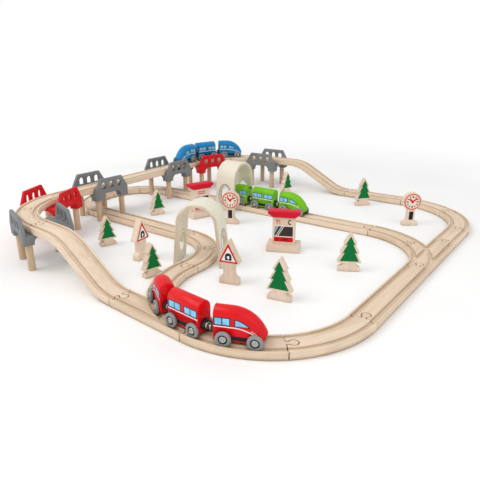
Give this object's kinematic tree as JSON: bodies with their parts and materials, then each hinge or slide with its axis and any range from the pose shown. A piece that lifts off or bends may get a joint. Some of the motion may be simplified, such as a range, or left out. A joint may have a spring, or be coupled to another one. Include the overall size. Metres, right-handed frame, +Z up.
{
  "type": "wooden train set",
  "caption": "Toy railway of grooved wooden tracks with ramps, bridges, tunnels, switches, stations, trees, signs and magnet-coupled trains that roll along the track.",
  "frame": {"origin": "floor point under the middle of the bounding box", "axes": "+X along the front of the layout, +Y towards the back, +Z up"},
  "size_m": [0.8334, 0.8083, 0.1205],
  "materials": {
    "beech": "smooth natural beech",
    "bridge_grey": "matt grey paint on wood",
    "bridge_red": "satin red paint on wood",
    "dowel": "natural wood",
    "plywood": "pale bent plywood",
    "station_wood": "natural wood with printed panels",
    "station_roof": "satin red paint on wood",
    "tree_wood": "natural wood with a green printed tree",
    "sign_wood": "natural wood with a printed triangle",
    "clock_wood": "natural wood with a printed dial",
    "car_red": "gloss red paint",
    "car_green": "gloss lime green paint",
    "car_blue": "gloss blue paint",
    "chassis_black": "black moulded plastic",
    "magnet": "nickel-plated magnet",
    "wheel_grey": "grey moulded plastic on a chromed axle"
  },
  "bodies": {
    "layout": {"straight_tracks": "beech", "corner_curves": "beech", "inner_curves": "beech", "switch_left": "beech", "switch_right": "beech", "ramp_tracks": "beech", "bridge_bodies_grey": "bridge_grey", "bridge_bodies_red": "bridge_red", "bridge_legs": "dowel", "tunnel_arches": "plywood", "station_stands": "station_wood", "station_roofs": "station_roof", "fir_trees": "tree_wood", "tunnel_signs": "sign_wood", "clock_posts": "clock_wood"},
    "red_front_engine": {"red_front_engine_body": "car_red", "red_front_engine_chassis": "chassis_black", "red_front_engine_magnets": "magnet"},
    "red_front_engine_front_wheels": {"red_front_engine_front_wheels": "wheel_grey"},
    "red_front_engine_rear_wheels": {"red_front_engine_rear_wheels": "wheel_grey"},
    "red_coach": {"red_coach_body": "car_red", "red_coach_chassis": "chassis_black", "red_coach_magnets": "magnet"},
    "red_coach_front_wheels": {"red_coach_front_wheels": "wheel_grey"},
    "red_coach_rear_wheels": {"red_coach_rear_wheels": "wheel_grey"},
    "red_rear_engine": {"red_rear_engine_body": "car_red", "red_rear_engine_chassis": "chassis_black", "red_rear_engine_magnets": "magnet"},
    "red_rear_engine_front_wheels": {"red_rear_engine_front_wheels": "wheel_grey"},
    "red_rear_engine_rear_wheels": {"red_rear_engine_rear_wheels": "wheel_grey"},
    "green_front_engine": {"green_front_engine_body": "car_green", "green_front_engine_chassis": "chassis_black", "green_front_engine_magnets": "magnet"},
    "green_front_engine_front_wheels": {"green_front_engine_front_wheels": "wheel_grey"},
    "green_front_engine_rear_wheels": {"green_front_engine_rear_wheels": "wheel_grey"},
    "green_coach": {"green_coach_body": "car_green", "green_coach_chassis": "chassis_black", "green_coach_magnets": "magnet"},
    "green_coach_front_wheels": {"green_coach_front_wheels": "wheel_grey"},
    "green_coach_rear_wheels": {"green_coach_rear_wheels": "wheel_grey"},
    "green_rear_engine": {"green_rear_engine_body": "car_green", "green_rear_engine_chassis": "chassis_black", "green_rear_engine_magnets": "magnet"},
    "green_rear_engine_front_wheels": {"green_rear_engine_front_wheels": "wheel_grey"},
    "green_rear_engine_rear_wheels": {"green_rear_engine_rear_wheels": "wheel_grey"},
    "blue_front_engine": {"blue_front_engine_body": "car_blue", "blue_front_engine_chassis": "chassis_black", "blue_front_engine_magnets": "magnet"},
    "blue_front_engine_front_wheels": {"blue_front_engine_front_wheels": "wheel_grey"},
    "blue_front_engine_rear_wheels": {"blue_front_engine_rear_wheels": "wheel_grey"},
    "blue_coach": {"blue_coach_body": "car_blue", "blue_coach_chassis": "chassis_black", "blue_coach_magnets": "magnet"},
    "blue_coach_front_wheels": {"blue_coach_front_wheels": "wheel_grey"},
    "blue_coach_rear_wheels": {"blue_coach_rear_wheels": "wheel_grey"},
    "blue_rear_engine": {"blue_rear_engine_body": "car_blue", "blue_rear_engine_chassis": "chassis_black", "blue_rear_engine_magnets": "magnet"},
    "blue_rear_engine_front_wheels": {"blue_rear_engine_front_wheels": "wheel_grey"},
    "blue_rear_engine_rear_wheels": {"blue_rear_engine_rear_wheels": "wheel_grey"}
  },
  "joints": [
    {"name": "red_front_engine_travel", "type": "hinge", "parent": "layout", "child": "red_front_engine", "pos_m": [0.24171, -0.22921, 0], "axis": [0, 0, 1], "range_deg": [-5, 50]},
    {"name": "red_front_engine_front_wheels_roll", "type": "hinge", "parent": "red_front_engine", "child": "red_front_engine_front_wheels", "pos_m": [0.32068, -0.36258, 0.01895], "axis": [-0.3971, 0.9178, 0], "range_deg": [-900, 900]},
    {"name": "red_front_engine_rear_wheels_roll", "type": "hinge", "parent": "red_front_engine", "child": "red_front_engine_rear_wheels", "pos_m": [0.28489, -0.37807, 0.01895], "axis": [-0.3971, 0.9178, 0], "range_deg": [-900, 900]},
    {"name": "red_coach_travel", "type": "hinge", "parent": "layout", "child": "red_coach", "pos_m": [0.24171, -0.22921, 0], "axis": [0, 0, 1], "range_deg": [-5, 50]},
    {"name": "red_coach_front_wheels_roll", "type": "hinge", "parent": "red_coach", "child": "red_coach_front_wheels", "pos_m": [0.24909, -0.38403, 0.01895], "axis": [0.0785, 0.9969, 0], "range_deg": [-900, 900]},
    {"name": "red_coach_rear_wheels_roll", "type": "hinge", "parent": "red_coach", "child": "red_coach_rear_wheels", "pos_m": [0.21021, -0.38097, 0.01895], "axis": [0.0785, 0.9969, 0], "range_deg": [-900, 900]},
    {"name": "red_rear_engine_travel", "type": "hinge", "parent": "layout", "child": "red_rear_engine", "pos_m": [0.24171, -0.22921, 0], "axis": [0, 0, 1], "range_deg": [-5, 50]},
    {"name": "red_rear_engine_front_wheels_roll", "type": "hinge", "parent": "red_rear_engine", "child": "red_rear_engine_front_wheels", "pos_m": [0.14286, -0.34859, 0.01895], "axis": [0.5358, 0.8443, 0], "range_deg": [-900, 900]},
    {"name": "red_rear_engine_rear_wheels_roll", "type": "hinge", "parent": "red_rear_engine", "child": "red_rear_engine_rear_wheels", "pos_m": [0.17578, -0.36949, 0.01895], "axis": [0.5358, 0.8443, 0], "range_deg": [-900, 900]},
    {"name": "green_front_engine_travel", "type": "slide", "parent": "layout", "child": "green_front_engine", "axis": [0.9994, 0.0349, 0], "range_m": [-0.13, 0.145]},
    {"name": "green_front_engine_front_wheels_roll", "type": "hinge", "parent": "green_front_engine", "child": "green_front_engine_front_wheels", "pos_m": [0.09931, 0.12106, 0.01895], "axis": [-0.0349, 0.9994, 0], "range_deg": [-900, 900]},
    {"name": "green_front_engine_rear_wheels_roll", "type": "hinge", "parent": "green_front_engine", "child": "green_front_engine_rear_wheels", "pos_m": [0.06033, 0.1197, 0.01895], "axis": [-0.0349, 0.9994, 0], "range_deg": [-900, 900]},
    {"name": "green_coach_travel", "type": "slide", "parent": "layout", "child": "green_coach", "axis": [0.9994, 0.0349, 0], "range_m": [-0.13, 0.145]},
    {"name": "green_coach_front_wheels_roll", "type": "hinge", "parent": "green_coach", "child": "green_coach_front_wheels", "pos_m": [0.02386, 0.11843, 0.01895], "axis": [-0.0349, 0.9994, 0], "range_deg": [-900, 900]},
    {"name": "green_coach_rear_wheels_roll", "type": "hinge", "parent": "green_coach", "child": "green_coach_rear_wheels", "pos_m": [-0.01512, 0.11707, 0.01895], "axis": [-0.0349, 0.9994, 0], "range_deg": [-900, 900]},
    {"name": "green_rear_engine_travel", "type": "slide", "parent": "layout", "child": "green_rear_engine", "axis": [0.9994, 0.0349, 0], "range_m": [-0.13, 0.145]},
    {"name": "green_rear_engine_front_wheels_roll", "type": "hinge", "parent": "green_rear_engine", "child": "green_rear_engine_front_wheels", "pos_m": [-0.09057, 0.11443, 0.01895], "axis": [-0.0349, 0.9994, 0], "range_deg": [-900, 900]},
    {"name": "green_rear_engine_rear_wheels_roll", "type": "hinge", "parent": "green_rear_engine", "child": "green_rear_engine_rear_wheels", "pos_m": [-0.0516, 0.11579, 0.01895], "axis": [-0.0349, 0.9994, 0], "range_deg": [-900, 900]},
    {"name": "blue_front_engine_travel", "type": "slide", "parent": "layout", "child": "blue_front_engine", "axis": [0.0523, -0.9986, 0], "range_m": [0, 0.032]},
    {"name": "blue_front_engine_front_wheels_roll", "type": "hinge", "parent": "blue_front_engine", "child": "blue_front_engine_front_wheels", "pos_m": [-0.28025, 0.14085, 0.08195], "axis": [0.9986, 0.0523, 0], "range_deg": [-900, 900]},
    {"name": "blue_front_engine_rear_wheels_roll", "type": "hinge", "parent": "blue_front_engine", "child": "blue_front_engine_rear_wheels", "pos_m": [-0.28229, 0.1798, 0.08195], "axis": [0.9986, 0.0523, 0], "range_deg": [-900, 900]},
    {"name": "blue_coach_travel", "type": "hinge", "parent": "layout", "child": "blue_coach", "pos_m": [-0.11404, 0.18962, 0.063], "axis": [0, 0, 1], "range_deg": [0, 12]},
    {"name": "blue_coach_front_wheels_roll", "type": "hinge", "parent": "blue_coach", "child": "blue_coach_front_wheels", "pos_m": [-0.28048, 0.21615, 0.08195], "axis": [0.9627, -0.2706, 0], "range_deg": [-900, 900]},
    {"name": "blue_coach_rear_wheels_roll", "type": "hinge", "parent": "blue_coach", "child": "blue_coach_rear_wheels", "pos_m": [-0.26992, 0.25369, 0.08195], "axis": [0.9627, -0.2706, 0], "range_deg": [-900, 900]},
    {"name": "blue_rear_engine_travel", "type": "hinge", "parent": "layout", "child": "blue_rear_engine", "pos_m": [-0.11404, 0.18962, 0.063], "axis": [0, 0, 1], "range_deg": [0, 12]},
    {"name": "blue_rear_engine_front_wheels_roll", "type": "hinge", "parent": "blue_rear_engine", "child": "blue_rear_engine_front_wheels", "pos_m": [-0.22672, 0.31495, 0.08195], "axis": [0.7501, -0.6613, 0], "range_deg": [-900, 900]},
    {"name": "blue_rear_engine_rear_wheels_roll", "type": "hinge", "parent": "blue_rear_engine", "child": "blue_rear_engine_rear_wheels", "pos_m": [-0.25251, 0.2857, 0.08195], "axis": [0.7501, -0.6613, 0], "range_deg": [-900, 900]}
  ],
  "couplings": [
    {"joint": "red_front_engine_front_wheels_roll", "follows": "red_front_engine_travel", "ratio": 15.5},
    {"joint": "red_front_engine_rear_wheels_roll", "follows": "red_front_engine_travel", "ratio": 15.5},
    {"joint": "red_coach_travel", "follows": "red_front_engine_travel", "ratio": 1},
    {"joint": "red_coach_front_wheels_roll", "follows": "red_front_engine_travel", "ratio": 15.5},
    {"joint": "red_coach_rear_wheels_roll", "follows": "red_front_engine_travel", "ratio": 15.5},
    {"joint": "red_rear_engine_travel", "follows": "red_front_engine_travel", "ratio": 1},
    {"joint": "red_rear_engine_front_wheels_roll", "follows": "red_front_engine_travel", "ratio": 15.5},
    {"joint": "red_rear_engine_rear_wheels_roll", "follows": "red_front_engine_travel", "ratio": 15.5},
    {"joint": "green_front_engine_front_wheels_roll", "follows": "green_front_engine_travel", "rad_per_m": 100},
    {"joint": "green_front_engine_rear_wheels_roll", "follows": "green_front_engine_travel", "rad_per_m": 100},
    {"joint": "green_coach_travel", "follows": "green_front_engine_travel", "ratio": 1},
    {"joint": "green_coach_front_wheels_roll", "follows": "green_front_engine_travel", "rad_per_m": 100},
    {"joint": "green_coach_rear_wheels_roll", "follows": "green_front_engine_travel", "rad_per_m": 100},
    {"joint": "green_rear_engine_travel", "follows": "green_front_engine_travel", "ratio": 1},
    {"joint": "green_rear_engine_front_wheels_roll", "follows": "green_front_engine_travel", "rad_per_m": 100},
    {"joint": "green_rear_engine_rear_wheels_roll", "follows": "green_front_engine_travel", "rad_per_m": 100},
    {"joint": "blue_front_engine_front_wheels_roll", "follows": "blue_front_engine_travel", "rad_per_m": 100},
    {"joint": "blue_front_engine_rear_wheels_roll", "follows": "blue_front_engine_travel", "rad_per_m": 100},
    {"joint": "blue_coach_travel", "follows": "blue_front_engine_travel", "rad_per_m": 5.9334},
    {"joint": "blue_coach_front_wheels_roll", "follows": "blue_front_engine_travel", "rad_per_m": 100},
    {"joint": "blue_coach_rear_wheels_roll", "follows": "blue_front_engine_travel", "rad_per_m": 100},
    {"joint": "blue_rear_engine_travel", "follows": "blue_front_engine_travel", "rad_per_m": 5.9334},
    {"joint": "blue_rear_engine_front_wheels_roll", "follows": "blue_front_engine_travel", "rad_per_m": 100},
    {"joint": "blue_rear_engine_rear_wheels_roll", "follows": "blue_front_engine_travel", "rad_per_m": 100}
  ]
}
